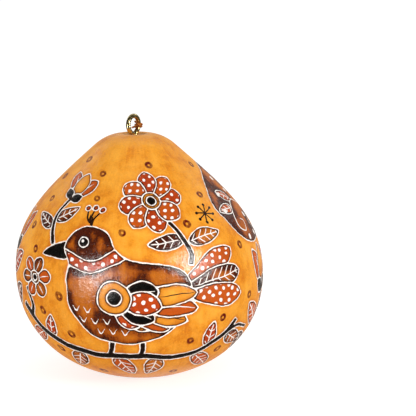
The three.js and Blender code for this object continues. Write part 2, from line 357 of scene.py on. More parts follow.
def grown(points):
    # a living form isn't turned: it swells by a faint oval and three lobes, and its stem end leans to the
    # left, most at the crown
    x, y, z = points[..., 0], points[..., 1], points[..., 2]
    a, t = np.arctan2(y, x), np.clip(z / gourd["height"], 0, 1)
    lobes = gourd["ovalShare"] * np.cos(2 * (a - gourd["lobeTurn"]))
    lobes = lobes + (1 - gourd["ovalShare"]) * np.cos(3 * a + gourd["lobeTurn"])
    share = 1 + gourd["lobeHeight"] * np.sin(np.pi * t) ** 2 * lobes * 2 / gourd["width"]
    lean = gourd["crownOffset"] * (smooth(gourd["bellyHeight"] / gourd["height"]) - smooth(t))
    return np.stack([x * share + lean, y * share, z], -1)


outerLine, innerLine = gourdProfile()
section = np.vstack([outerLine, innerLine])
azimuths = aroundOnce(gourd["columns"])
turned = np.stack([section[:, :1] * np.cos(azimuths), section[:, :1] * np.sin(azimuths),
                   np.repeat(section[:, 1:], gourd["columns"], 1)], -1)
gourdGrid = grown(turned)

print("gourd skin: its drawing")
# The drawing is worked out at the skin's points as distances in millimetres, which the material turns into
# cut lines, dyed and burnt areas. areas holds how far each point lies outside (or, below 0, inside) each
# colour. lines holds how far to its side a drawn line lies, in half widths, and its distance as a gate, and
# marks the offset to a round mark, in radii, and its length as a gate.
drawing = {
    "centre": (0.0, 0.0, 38.0), "radius": 40.0, "reach": 3.0, "lineReach": 0.6, "lineEdge": 6.0,
    "markEdge": 9.0, "lineMargin": 2.0, "markMargin": 2.5, "patternFrom": 0.45, "markClear": 0.3,
    "waves": ((0.16, 0.63, 1.3, 0.57, 2.1), (0.04, 1.9, 0.6, 1.7, -0.7)), "vein": 0.34,
    "ringSeed": 11, "ringTries": 6000, "ringClear": 2.95, "ringApart": 9.5, "ringHeights": (4.0, 74.0),
    "ringRadii": (1.15, 1.4), "starClear": 5.4, "starReach": 5.0,
    "carveDepth": 0.05, "carveWidth": 0.6, "fibreStretch": 0.12,
}
areaNames = ["brown", "red", "black", "umber", "rust", "amber"]
far, lineReach, markEdge = drawing["reach"], drawing["lineReach"], drawing["markEdge"]
outerCount = len(outerLine) * gourd["columns"]
areas = {name: np.full(outerCount, far) for name in areaNames}
lines = {name: np.tile([drawing["lineEdge"], markEdge], (outerCount, 1)) for name in ("pale", "dark")}
marks = {name: np.full((outerCount, 3), markEdge) for name in ("dot", "ring", "star")}
patternMap = np.zeros((outerCount, 3))
burn = np.zeros(outerCount)
onSkin = turned[:len(outerLine)].reshape(-1, 3)
sight = unit(onSkin - drawing["centre"])


def drawingMap(azimuth, elevation):
    # lays the skin flat round one spot: distance from the spot is the arc, so shapes keep their size there,
    # and slow and quick waves move each point by 0.2 mm at most each way, as by hand
    a, e = np.radians(azimuth), np.radians(elevation)
    right = np.array([np.cos(a), np.sin(a), 0])
    up = np.array([-np.sin(a) * np.sin(e), np.cos(a) * np.sin(e), np.cos(e)])
    angle = np.arccos(np.clip(sight @ direction(azimuth, elevation), -1, 1))
    scale = drawing["radius"] * angle / np.maximum(np.sin(angle), 1e-3)
    x, y = scale * (sight @ right), scale * (sight @ up)
    (slow, slowX, turnX, slowY, turnY), (quick, quickX, mixX, quickY, mixY) = drawing["waves"]
    return (x + slow * np.sin(slowX * y + turnX * a) + quick * np.sin(quickX * y + mixX * x),
            y + slow * np.sin(slowY * x + turnY + a) + quick * np.sin(quickY * x + mixY * y))


def windowOf(spot, points, margin):
    # which of the skin's points lie in the box round a shape, widened by the margin, and where
    x, y = spot
    low, high = points.min(0) - margin, points.max(0) + margin
    near = np.flatnonzero((x > low[0]) & (x < high[0]) & (y > low[1]) & (y < high[1]))
    return near, x[near], y[near]


def fromEdges(x, y, a, b):
    # distance of each point to each edge from a to b, and how far along the edge its foot lies
    step = b - a
    px, py = x[:, None] - a[:, 0], y[:, None] - a[:, 1]
    along = np.clip((px * step[:, 0] + py * step[:, 1]) / (step ** 2).sum(1), 0, 1)
    return px, py, along, np.hypot(px - along * step[:, 0], py - along * step[:, 1])


def depthIn(x, y, outline):
    # distance to a closed outline, below 0 inside it, where a ray crosses it an odd number of times
    a, b = outline, np.roll(outline, -1, axis=0)
    px, py, along, away = fromEdges(x, y, a, b)
    rise = np.where(np.abs(b[:, 1] - a[:, 1]) < 1e-9, 1e-9, b[:, 1] - a[:, 1])
    crossed = (a[:, 1] > y[:, None]) != (b[:, 1] > y[:, None])
    crossed &= px < py * (b[:, 0] - a[:, 0]) / rise
    return np.where(crossed.sum(1) % 2 == 1, -1, 1) * away.min(1)


def paint(spot, outline, colour, pattern=0, axis=(0, 0, 0), within=None):
    # lays a filled shape over what is there: it cuts the other colours back and joins its own; pattern is 1
    # for pricked dots or -1 for veins, measured along and across an axis given by its start and turn
    near, x, y = windowOf(spot, outline, far)
    depth = depthIn(x, y, outline)
    if within is not None:
        depth = np.maximum(depth, depthIn(x, y, within))
    depth = np.minimum(depth, far)
    for name in areaNames:
        if name != colour:
            areas[name][near] = np.minimum(np.maximum(areas[name][near], -depth), far)
    areas[colour][near] = np.minimum(areas[colour][near], depth)
    for name in lines:
        lines[name][near, 1] = np.maximum(lines[name][near, 1], 1 - depth / lineReach)
    for name in marks:
        marks[name][near[depth < drawing["markClear"]], 2] = markEdge
    own = depth < drawing["patternFrom"]
    t, dx, dy = np.radians(axis[2]), x[own] - axis[0], y[own] - axis[1]
    along, beside = np.cos(t) * dx + np.sin(t) * dy, np.cos(t) * dy - np.sin(t) * dx
    patternMap[near[own]] = np.stack([along, beside, np.full(own.sum(), float(pattern))], 1)


def stroke(spot, points, width, colour="pale", fade=0.5):
    # a cut or burnt line along a curve, thinner towards its ends by the cube of the way to them
    line = curveThrough(points, 8)
    near, x, y = windowOf(spot, line, drawing["lineMargin"])
    a, step = line[:-1], np.diff(line, axis=0)
    px, py, along, away = fromEdges(x, y, a, line[1:])
    pick, row = away.argmin(1), np.arange(len(near))
    length = np.linalg.norm(step, axis=1)
    side = (px * step[:, 1] - py * step[:, 0])[row, pick] / length[pick]
    run = (runOf(line)[pick] + along[row, pick] * length[pick]) / length.sum()
    half = width / 2 * (1 - fade * (2 * np.abs(run - 0.5)) ** 3)
    edge, away = drawing["lineEdge"], away[row, pick] / lineReach
    closer = away < lines[colour][near, 1]
    lines[colour][near[closer]] = np.stack([np.clip(side / half, -edge, edge), away], 1)[closer]


def mark(spot, kind, centres, radius):
    # round marks: the offset to the nearest one over its radius
    centres = np.array(centres, float).reshape(-1, 2)
    near, x, y = windowOf(spot, centres, drawing["markMargin"] * radius)
    px, py = x[:, None] - centres[:, 0], y[:, None] - centres[:, 1]
    away = np.hypot(px, py)
    pick, row = away.argmin(1), np.arange(len(near))
    found = np.stack([px[row, pick], py[row, pick], away[row, pick]], 1) / radius
    closer = found[:, 2] < marks[kind][near, 2]
    marks[kind][near[closer]] = found[closer]


def shade(spot, x, y, radius, amount):
    # a soft burnt patch: a bell curve of the distance from its middle
    away = np.hypot(spot[0] - x, spot[1] - y) / radius
    burn[:] = np.maximum(burn, amount * np.exp(-away ** 2))


def placed(points, x, y, turn):
    # points turned about the start and moved to their place
    t = np.radians(turn)
    return np.array(points, float) @ [[np.cos(t), np.sin(t)], [-np.sin(t), np.cos(t)]] + [x, y]


def disc(x, y, radius):
    # a circle: the cosine and sine of the turn times the radius
    turn = aroundOnce(36)
    return np.stack([x + radius * np.cos(turn), y + radius * np.sin(turn)], 1)


def petal(length, width, peak, point):
    # a petal along +x: half its width is a sine whose middle is moved to peak, raised to point for its tip
    t = np.linspace(0, 1, 26)
    half = width / 2 * np.sin(np.pi * t ** (np.log(0.5) / np.log(peak))) ** point
    upper = np.stack([length * t, half], 1)
    return np.vstack([upper, upper[-2:0:-1] * [1, -1]])


def twig(spot, points, startWidth, endWidth):
    # a black branch: its middle line widened to both sides, less towards the end
    line = curveThrough(points, 8)
    tangent = unit(np.gradient(line, axis=0))
    half = np.linspace(startWidth, endWidth, len(line))[:, None] / 2
    side = np.stack([-tangent[:, 1], tangent[:, 0]], 1) * half
    paint(spot, np.vstack([line + side, (line - side)[::-1]]), "black")


def leaf(spot, x, y, turn, length, width, colour):
    # a leaf whose midrib and side veins are cut in
    paint(spot, placed(petal(length, width, 0.42, 0.72), x, y, turn), colour, -1, (x, y, turn))


def rib(spot, x, y, turn, start, end, colour="pale", fade=0.8):
    # a line from start to end on the way out of a petal
    stroke(spot, placed([(start, 0), (end, 0)], x, y, turn), drawing["vein"], colour, fade)


def blossom(spot, x, y, radius, petals, colours, centre, turn, dotted=False):
    # a round flower: petals in turn round an amber eye with a dark middle
    for k in range(petals):
        angle = turn + 360 * k / petals
        middle = placed([(radius * 0.68, 0)], x, y, angle)[0]
        paint(spot, placed(petal(radius, radius * 0.62, 0.64, 0.62), x, y, angle), colours[k % len(colours)],
              int(dotted), (*middle, angle + 30))
        if not dotted:
            rib(spot, x, y, angle, radius * 0.42, radius * 0.78)
    paint(spot, disc(x, y, centre), "amber")
    paint(spot, disc(x, y, centre * 0.52), "black")


def tulip(spot, x, y, turn, size):
    # a closed flower: two outer petals, one in front of them and a short dark cup
    for tilt in (25, -25):
        paint(spot, placed(petal(size, size * 0.44, 0.6, 0.76), x, y, turn + tilt), "rust")
        rib(spot, x, y, turn + tilt, size * 0.4, size * 0.8)
    paint(spot, placed(petal(size * 0.98, size * 0.5, 0.55, 0.75), x, y, turn), "amber")
    for tilt in (48, -48):
        paint(spot, placed(petal(size * 0.42, size * 0.3, 0.5, 0.8), x, y, turn + tilt), "black")


front = drawingMap(-2, -2)

# the leaves on the bough under the bird, then the bough, its two twigs and the bird's legs
for x, y, turn, length, width, colour in (
        (-33, -20.5, 228, 14, 6.8, "rust"), (-18, -24.5, 252, 13, 6.4, "brown"),
        (-6, -24.5, 292, 13.5, 6.6, "rust"), (8, -25, 250, 13, 6.4, "umber"),
        (20, -26, 296, 13.5, 6.6, "rust"), (32, -21, 310, 13, 6.2, "brown"),
        (24, -24.5, 72, 10.5, 5, "red"), (-29, -22, 84, 9.5, 4.8, "red")):
    leaf(front, x, y, turn, length, width, colour)
for points, startWidth, endWidth in (
        ([(-43, -13), (-31, -21.5), (-15, -25), (2, -24.6), (17, -26.5), (30, -22), (37, -17)], 3.1, 2.0),
        ([(-38, -16.5), (-37, -11), (-40, -5.5)], 2.1, 1.5),
        ([(33, -20.5), (38, -20.5), (43, -24)], 1.9, 1.3),
        ([(-6, -14), (-6.5, -19), (-8, -24.6)], 1.9, 1.7), ([(2.5, -15), (3, -19), (2, -24.6)], 1.9, 1.7)):
    twig(front, points, startWidth, endWidth)

# the bird: tail, beak, body with its collar, eye, wing, breast and crest
for turn, colour, dotted in ((27, "rust", True), (8, "umber", False), (-11, "rust", True)):
    feather = placed(petal(27, 8.4, 0.7, 0.62), 13, -2, turn)
    paint(front, feather, colour, 1 if dotted else -1, (13, -2, turn + 38 * dotted))
body = curveThrough([(-22.4, 11.5), (-20, 16.8), (-13.8, 19.4), (-7.6, 16.9), (-3.6, 10.4), (3, 7.4),
                     (11, 6.6), (18, 3.4), (19.6, -2.6), (16.4, -10.4), (8.4, -17), (-2, -19.2),
                     (-12.4, -16.8), (-19.4, -9), (-21, 0), (-20.4, 6)], 8, True)
paint(front, curveThrough([(-20, 14), (-26, 12.4), (-32, 8.6), (-26, 7.6), (-20, 8.4)], 6, True), "black")
paint(front, body, "brown")
collar = curveThrough([(-25, 8.6), (-16, 4.2), (-9, 4.8), (-0.5, 9.4), (-2.5, 12.4), (-9.4, 8.6), (-15.4, 8),
                       (-24, 12)], 6, True)
paint(front, collar, "red", 1, (-12, 6.2, 36), within=body)
paint(front, disc(-15.4, 13.6, 1.75), "black")
mark(front, "dot", [(-15.8, 14)], 0.5)
wingRoot = (-5.6, -3.8)
for turn, length, colour in ((-41, 15.5, "amber"), (-31, 20, "rust"), (-20, 24.5, "amber"),
                             (-9, 27.5, "rust"), (2, 27, "amber")):
    paint(front, placed(petal(length, 6.8, 0.66, 0.62), *wingRoot, turn), colour)
    rib(front, *wingRoot, turn, length * 0.56, length * 0.93, "dark" if colour == "amber" else "pale", 0.5)
for turn, length in ((-50, 12), (10, 14.5), (-30, 14.5), (-10, 15.5)):
    dotted = turn in (-50, -10)
    feather = placed(petal(length, 7.6, 0.62, 0.66), *wingRoot, turn)
    paint(front, feather, "red" if dotted else "black", int(dotted), (*wingRoot, turn + 34))
    if not dotted:
        rib(front, *wingRoot, turn, length * 0.5, length * 0.88, "pale", 0.5)
for radius, colour in ((5.3, "amber"), (2.3, "black")):
    paint(front, disc(wingRoot[0] + 0.4, wingRoot[1], radius), colour)
for y, row in ((-8.4, (-17.4, -13.6)), (-11.8, (-15.4, -11.6, -7.8)), (-15.2, (-9.8, -6, -2.2))):
    for x in row:
        stroke(front, [(x - 0.9, y + 0.8), (x, y - 0.6), (x + 0.9, y + 0.8)], 0.32, "pale", 0.7)
for turn in (60, 84, 108):
    stroke(front, placed([(0.3, 0), (3, 0.6), (6.2, 0)], -13.6, 19.4, turn), 0.7, "dark", 0.2)
    paint(front, disc(*placed([(7.2, 0)], -13.6, 19.4, turn)[0], 1.15), "red")

# flowers over the bird and round it
leaf(front, 20.5, 14, 14, 13.5, 6.4, "brown")
leaf(front, 19, 14.5, 187, 13, 5.6, "umber")
twig(front, [(20, 6), (20.5, 11), (17, 17), (11, 25)], 1.9, 1.5)
blossom(front, 8, 29.5, 12.6, 8, ["red", "rust"], 3.5, 12, True)
leaf(front, -29.4, 21, 30, 11.5, 5.4, "brown")
leaf(front, -29.6, 18.4, 148, 11.5, 5.4, "umber")
twig(front, [(-27.5, 12), (-29.6, 18), (-28.6, 25), (-24.6, 31)], 1.8, 1.4)
tulip(front, -25, 30.2, 60, 14)
blossom(front, -35, -0.5, 8, 6, ["rust", "umber"], 2.3, 10)
mark(front, "star", [(29.4, 24.4)], 4.4)

# sprigs on both sides
for azimuth, elevation in ((-82, -2), (80, -22)):
    sprig = drawingMap(azimuth, elevation)
    for y, turn, colour in ((-15, 142, "brown"), (-12, 36, "umber"), (-4, 146, "rust"), (-1, 34, "red")):
        leaf(sprig, 0, y, turn, 13.5, 6.2, colour)
    twig(sprig, [(0, -22), (-0.8, -12), (0.5, -4), (0, 7)], 2.2, 1.5)
    tulip(sprig, 0, 6, 90, 16)
    shade(sprig, 0, 12, 3.4, 0.8)

# the back: a tall flowering bush
bush = drawingMap(-160, -4)
for x, y, turn, length, colour in (
        (0, -24, 148, 17, "rust"), (0, -21, 30, 17, "brown"), (-1, -13, 164, 16, "umber"),
        (-1, -8, 28, 16, "rust"), (0, 3, 140, 12, "brown"), (0, 5, 30, 13, "red")):
    leaf(bush, x, y, turn, length, length * 0.46, colour)
twig(bush, [(1, -32), (0, -22), (-1.5, -10), (0, 2), (0, 16)], 3.1, 1.9)
for points, turn in (([(0, -2), (12, 6), (19, 15)], 66), ([(-1, -7), (-10, -4.5), (-16, 2.5)], 116)):
    twig(bush, points, 2, 1.5)
    tulip(bush, *points[-1], turn, 14)
blossom(bush, 0, 24, 13.5, 8, ["red", "rust"], 3.8, 6, True)

# the right shoulder: a dark oval panel, a circle squared a little by a power, with a pale flower in it
panel = drawingMap(115, 35)
oval = disc(0, 0, 1)
paint(panel, np.sign(oval) * np.abs(oval) ** 0.68 * [35, 16.5] + [0, 0.5], "umber")
for x, turn in ((-3, 166), (3, 14)):
    leaf(panel, x, -13, turn, 17, 17 * 0.42, "amber")
for side in (-1, 1):
    vine = np.array([(13, -3), (20, 2), (27, 1), (31, -4), (28.5, -7.5), (25, -5.5), (26, -3.5)])
    stroke(panel, vine * [side, 1], 0.5, "pale", 0.4)
    for x, y, turn in ((20, 2, 62), (25.5, 1.8, 28)):
        leaf(panel, side * x, y, turn if side > 0 else 180 - turn, 9, 4.6, "rust")
twig(panel, [(0, -15.6), (-0.6, -11), (0, -4)], 2, 1.6)
blossom(panel, 0, 2.5, 12, 9, ["amber"], 3.6, 10)
shade(panel, 0, 2.5, 6, 0.85)
for side in (-1, 1):
    spots = np.array([(14.5, 11), (24.5, 8.5), (31, 4), (15, 4.5), (28, -10.2), (20.5, -12.6), (19.5, -5.5)])
    mark(panel, "dot", spots * [side, 1], 1.0)

# burnt rings wherever a wide enough piece of plain skin is left
lottery = np.random.default_rng(drawing["ringSeed"])
drawn = [areas[name] for name in areaNames] + [lineReach * lines[name][:, 1] for name in lines]
drawn = np.minimum.reduce(drawn + [drawing["starClear"] * marks["star"][:, 2] - drawing["starReach"]])
lowest, highest = drawing["ringHeights"]
chosen = []
for pick in lottery.permutation(outerCount)[:drawing["ringTries"]]:
    place = onSkin[pick]
    apart = min([np.linalg.norm(place - other) for other in chosen], default=2 * drawing["ringApart"])
    if drawn[pick] > drawing["ringClear"] and apart > drawing["ringApart"] and lowest < place[2] < highest:
        chosen.append(place)
        azimuth = np.degrees(np.arctan2(sight[pick, 0], -sight[pick, 1]))
        ownMap = drawingMap(azimuth, np.degrees(np.arcsin(sight[pick, 2])))
        mark(ownMap, "ring", [(0, 0)], lottery.uniform(*drawing["ringRadii"]))
print("burnt rings:", len(chosen))

# the knife leaves a shallow valley along every line, a bell curve of the distance, and the mesh has it too
edge = np.minimum.reduce([np.abs(areas[name]) for name in areaNames] + [lines["pale"][:, 1] * lineReach])
valley = drawing["carveDepth"] * np.exp(-(edge / drawing["carveWidth"]) ** 2)
outside = gourdGrid[:len(outerLine)]
outside -= unit(outside - drawing["centre"]) * valley.reshape(len(outerLine), -1, 1)

outerShare = np.linspace(0.0, gourd["outerShare"], len(outerLine) + 1)[1:]
innerShare = np.linspace(gourd["outerShare"], 1.0, len(innerLine) + 2)[1:-1]
gourdSkin = addTube("gourdSkin", gourdGrid, np.r_[outerShare, innerShare])

# every attribute for the material has three numbers; the inside of the shell gets plain far-away values
run = np.broadcast_to(drawing["fibreStretch"] * runOf(outerLine)[:, None], (len(outerLine), gourd["columns"]))
fibres = [drawing["radius"] * wave(azimuths) + 0 * run for wave in (np.cos, np.sin)]
stored = {
    "areaOne": np.stack([areas[name] for name in areaNames[:3]], 1),
    "areaTwo": np.stack([areas[name] for name in areaNames[3:]], 1),
    "paleLine": np.c_[lines["pale"], burn], "darkLine": np.c_[lines["dark"], burn],
    "dotMark": marks["dot"], "ringMark": marks["ring"], "starMark": marks["star"],
    "patternMap": patternMap, "grainMap": np.stack([*fibres, run], -1).reshape(-1, 3),
}
for name, values in stored.items():
    whole = np.full((len(gourdSkin.data.vertices), 3), markEdge, np.float32)
    whole[:outerCount] = values
    whole[-2] = values[0]
    gourdSkin.data.attributes.new(name, "FLOAT_VECTOR", "POINT").data.foreach_set("vector", whole.ravel())
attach(gourdSkin, "root")
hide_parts("gourd_shell")

print("gourd skin: its material")
# Dried gourd skin, scraped, dyed red, burnt brown with a hot tip, cut through to the pale wall, then waxed
# and buffed: a satin shine that lies over all the colours, and dull, sunken, almost white cuts.
skinColours = {
    "amberLow": "CC7010", "amberMid": "E18B14", "amberHigh": "F2A532",
    "brownDark": "461400", "brownMid": "9C4800", "brownLight": "BC6606",
    "redDark": "9A2B00", "redLight": "C04600", "rust": "C86008",
    "black": "040302", "cut": "FCF5EE", "burntEdge": "240C02", "burntRing": "640C00",
    "barkDark": "B87A38", "barkLight": "DCA458", "waxFilm": "FFF0E2",
}
skinGrain = {  # scale, which is 1 over a pattern's size in millimetres, then detail and roughness
    "streaks": (0.62, 3.0, 0.62),  # 1.6 mm wide, and long because the fibres run up the skin
    "clouds": (0.09, 3.0, 0.55),
    "burnClouds": (0.09, 5.0, 0.54),
    "mottles": (0.22, 2.0, 0.5),
    "fine": (1.9, 3.0, 0.65),
    "waxGrain": (1.3, 3.0, 0.65),
    "shake": (0.8, 2.0, 0.6),  # of the hand as it draws
    "press": (0.75, 1.0, 0.5),  # of the hand on the tool
}
skinFinish = {  # millimetres, and pairs are where a soft edge starts and where it is full
    "tremble": 0.06, "areaEdge": 0.04, "rustShare": 0.45, "halo": 0.55, "haloWidth": 1.7, "lowDeepening": 0.12,
    "patternEdge": (-0.6, -0.85), "prickScale": 0.39, "prickRandom": 0.36, "prickShake": 3.0,
    "prick": (0.27, 0.23), "midrib": (0.24, 0.15), "veinGap": 2.6, "veinSlope": -0.8, "vein": (0.26, 0.169),
    "ringMiddle": 0.7, "ring": (0.5, 0.24), "ringShake": 2.8, "spokes": 8, "tipMiddle": 0.86,
    "scorchMiddle": 0.38, "scorch": (0.34, 0.16), "cut": (0.4, 0.33), "cutPress": 0.4, "softCut": (0.4, 0.1),
    "scarMiddle": (-1.14, 0.0), "gloss": (0.3, 0.42), "wax": (0.3, 1.0), "edgeWax": (1.0, 0.24),
}
skinMaterial, tree, mm = newMaterial("burntDyedWaxedGourdSkin")
maps = {name: addNode(tree, "Attribute", out="Vector", attribute_name=name) for name in stored}
streaks, clouds, burnClouds, mottles, fine, waxGrain, shake, press = [
    addNode(tree, "TexNoise", {"Vector": maps["grainMap"] if name == "streaks" else mm, "Scale": scale,
                               "Detail": detail, "Roughness": rough})
    for name, (scale, detail, rough) in skinGrain.items()]

# the shake moves every drawn edge; brown and umber are burnt alike, and red and rust dyed alike
tremble = ramp(tree, shake, 0.0, 1.0, -skinFinish["tremble"], skinFinish["tremble"])
twoAreas = [addNode(tree, "VectorMath", (maps[name], tremble), operation="ADD")
            for name in ("areaOne", "areaTwo")]
distances = [addNode(tree, "VectorMath", (area,), operation="ABSOLUTE") for area in twoAreas]
least = []
for two in (distances, twoAreas):
    pairs = addNode(tree, "SeparateXYZ", (addNode(tree, "VectorMath", two, operation="MINIMUM"),), None)
    most = calc(tree, "MINIMUM", pairs[0], pairs[1])
    least.append(calc(tree, "MINIMUM", most, pairs[2]))
edge, insideMost = least
brownArea, redArea = pairs[0], pairs[1]
black = addNode(tree, "SeparateXYZ", (twoAreas[0],), 2)
rust, amber = addNode(tree, "SeparateXYZ", (twoAreas[1],), None)[1:]
soft = skinFinish["areaEdge"]
inBrown, inRed, inBlack, inAmber, inRust = [
    ramp(tree, area, soft, -soft, 0.0, share) for area, share in (
        (brownArea, 1.0), (redArea, 1.0), (black, 1.0), (amber, 1.0), (rust, skinFinish["rustShare"]))]

# tones, each a sum of the patterns times their shares: amber, with streaks, clouds of 11 mm, mottles of
# 4.5 mm and a fine grain of 0.5 mm; brown, burnt in clouds along the fibres and darkest at the rim of each
# shape; and red, one brushed coat of dye
rim = ease(tree, brownArea, -4.5, -0.2, -0.34, -0.62)
tones = []
for tone, parts in ((-1.1, ((streaks, 0.6), (clouds, 1.5), (mottles, 1.2), (fine, 0.7))),
                    (rim, ((burnClouds, 1.6), (fine, 0.26), (streaks, 0.4))),
                    (clouds, ((streaks, 0.5), (fine, 0.8)))):
    for part, share in parts:
        tone = calc(tree, "MULTIPLY_ADD", part, share, tone)
    tones.append(tone)
amberTone, brownTone, redTone = tones
amberRise, amberDeep, brownFirst, brownRise, redRise = [ramp(tree, *limits) for limits in (
    (amberTone, 0.6, 1.25), (amberTone, 0.8, 0.35), (brownTone, 0.49, 0.67), (brownTone, 0.63, 0.85),
    (redTone, 0.9, 1.4))]

# amber is deeper for 1.5 mm beside a cut, where the hot tip has warmed it, and deeper the lower it lies below
# 55 mm
height = addNode(tree, "SeparateXYZ", (mm,), 2)
halo = ease(tree, edge, skinFinish["haloWidth"], 0.2, 0.0, skinFinish["halo"])
towardsBottom = ramp(tree, height, 55.0, 10.0, 0.0, skinFinish["lowDeepening"])
for deeper in (halo, towardsBottom):
    amberDeep = calc(tree, "ADD", amberDeep, deeper, clamp=True)

# patterns inside a shape, kept 0.7 mm off its edge: round white pricks 2.6 mm apart, or veins 2.6 mm apart
# that run forward from a midrib
along, beside, kind = addNode(tree, "SeparateXYZ", (maps["patternMap"],), None)
wellInside = ramp(tree, insideMost, *skinFinish["patternEdge"])
dotted, veined = [
    calc(tree, "MULTIPLY", ramp(tree, kind, 0.5 * sign, 0.9 * sign), wellInside) for sign in (1, -1)]
prick = addNode(tree, "TexVoronoi", {
    "Vector": maps["patternMap"], "Scale": skinFinish["prickScale"], "Randomness": skinFinish["prickRandom"]},
                "Distance", voronoi_dimensions="2D")
prick = calc(tree, "MULTIPLY_ADD", tremble, skinFinish["prickShake"], prick)
prick = ease(tree, prick, *skinFinish["prick"])
prick = calc(tree, "MULTIPLY", prick, dotted)
beside = calc(tree, "ABSOLUTE", beside)
midrib = ramp(tree, beside, *skinFinish["midrib"])
barb = calc(tree, "MULTIPLY_ADD", beside, skinFinish["veinSlope"], along)
barb = calc(tree, "MULTIPLY_ADD", tremble, 2.0, barb)
for operation in ("ADD", "PINGPONG"):
    barb = calc(tree, operation, barb, skinFinish["veinGap"] / 2)
barb = ramp(tree, barb, *skinFinish["vein"])
vein = calc(tree, "MAXIMUM", midrib, barb)
vein = calc(tree, "MULTIPLY", vein, veined)
darkVein = calc(tree, "MULTIPLY", vein, inAmber)
paleVein = calc(tree, "SUBTRACT", vein, inAmber, clamp=True)

# drawn lines, and the burns that are stored with them, which join the burnt rims of the amber shapes
drawnLines = []
for name, soft in (("paleLine", 1.2), ("darkLine", 1.15)):
    side, gate, burned = addNode(tree, "SeparateXYZ", (maps[name],), None)
    side = ramp(tree, calc(tree, "ABSOLUTE", side), soft, 0.85)
    gate = ramp(tree, gate, 1.1, 0.9)
    drawnLines.append(calc(tree, "MULTIPLY", side, gate))
paleLine, darkLine = drawnLines
amberBurn = ease(tree, amber, -2.6, 0.0, 0.0, 0.75)
for value, operation in ((inAmber, "MULTIPLY"), (burnClouds, "MULTIPLY"), (burned, "MAXIMUM"),
                         (1.2, "MULTIPLY")):
    amberBurn = calc(tree, operation, amberBurn, value, clamp=True)

# round marks: rings 2 mm across, stars of eight spokes with a dot at each tip, and dots, measured in radii
around = {}
for name, reach in (("ringMark", 1.5), ("starMark", 1.2), ("dotMark", 1.5)):
    x, y, gate = addNode(tree, "SeparateXYZ", (maps[name],), None)
    away = addNode(tree, "VectorMath", (maps[name], (1.0, 1.0, 0.0)), operation="MULTIPLY")
    away = addNode(tree, "VectorMath", (away,), "Value", operation="LENGTH")
    around[name] = x, y, away, ramp(tree, gate, reach + 0.2, reach)
pressed = ramp(tree, press, 0.38, 0.62, 1.0, 0.65)
away, gate = around["ringMark"][2:]
ring = calc(tree, "MULTIPLY_ADD", tremble, skinFinish["ringShake"], away)
ring = calc(tree, "SUBTRACT", ring, skinFinish["ringMiddle"])
ring = calc(tree, "ABSOLUTE", ring)
ring = ease(tree, ring, *skinFinish["ring"])
for share in (pressed, gate):
    ring = calc(tree, "MULTIPLY", ring, share)
x, y, away, gate = around["starMark"]
turn = calc(tree, "ARCTAN2", y, x)
turn = calc(tree, "PINGPONG", turn, np.pi / skinFinish["spokes"])
side, along = [calc(tree, "MULTIPLY", calc(tree, wave, turn), away) for wave in ("SINE", "COSINE")]
side = calc(tree, "MULTIPLY_ADD", tremble, 0.25, side)
tip = addNode(tree, "CombineXYZ", (along, side))
tip = addNode(tree, "VectorMath", (tip, (skinFinish["tipMiddle"], 0.0, 0.0)), "Value", operation="DISTANCE")
spoke, spokeEnd, tip = [ramp(tree, *limits) for limits in (
    (side, 0.075, 0.05), (away, 0.92, 0.86), (tip, 0.16, 0.12))]
star = calc(tree, "MULTIPLY", spoke, spokeEnd)
star = calc(tree, "MAXIMUM", star, tip)
star = calc(tree, "MULTIPLY", star, gate)
away, gate = around["dotMark"][2:]
dot = calc(tree, "MULTIPLY_ADD", tremble, 3.0, away)
dot = calc(tree, "MULTIPLY", ramp(tree, dot, 1.1, 0.92), gate)

# a dark scorched thread, 0.5 mm wide, just inside every cut
scorch = calc(tree, "ADD", insideMost, skinFinish["scorchMiddle"])
scorch = calc(tree, "ABSOLUTE", scorch)
scorch = ramp(tree, scorch, *skinFinish["scorch"])
scorch = calc(tree, "MULTIPLY", scorch, pressed)

# the cuts: every border 0.25 to 0.45 mm wide, the pale strokes and the white dots; their valleys are softer
cut = calc(tree, "MULTIPLY_ADD", press, skinFinish["cutPress"], edge)
cut = ramp(tree, cut, *skinFinish["cut"])
softCut = ease(tree, edge, *skinFinish["softCut"])
joined = []
for whole, others in ((star, (darkLine, darkVein)), (cut, (paleLine, dot, prick, paleVein)),
                      (softCut, (paleLine, prick, vein))):
    for other in others:
        whole = calc(tree, "MAXIMUM", whole, other)
    joined.append(whole)
burntMark, cut, softCut = joined
chips = ramp(tree, fine, 0.3, 0.5, 0.8, 1.0)
cutShow = calc(tree, "MULTIPLY", cut, chips)

# the stem scar and the blossom hollow are rough, brown and unwaxed
fromAxis = addNode(tree, "VectorMath", (mm, (1.0, 1.0, 0.0)), operation="MULTIPLY")
fromAxis = addNode(tree, "VectorMath", (fromAxis, (*skinFinish["scarMiddle"], 0.0)), "Value",
                   operation="DISTANCE")
fromAxis = calc(tree, "MULTIPLY_ADD", clouds, 1.5, fromAxis)
ends = []
for outer, inner, off, on in ((5.0, 3.9, 77.4, 78.3), (4.4, 3.2, 1.2, 0.4)):
    within = ramp(tree, fromAxis, outer, inner)
    level = ramp(tree, height, off, on)
    ends.append(calc(tree, "MULTIPLY", within, level))
scar = calc(tree, "MAXIMUM", *ends)

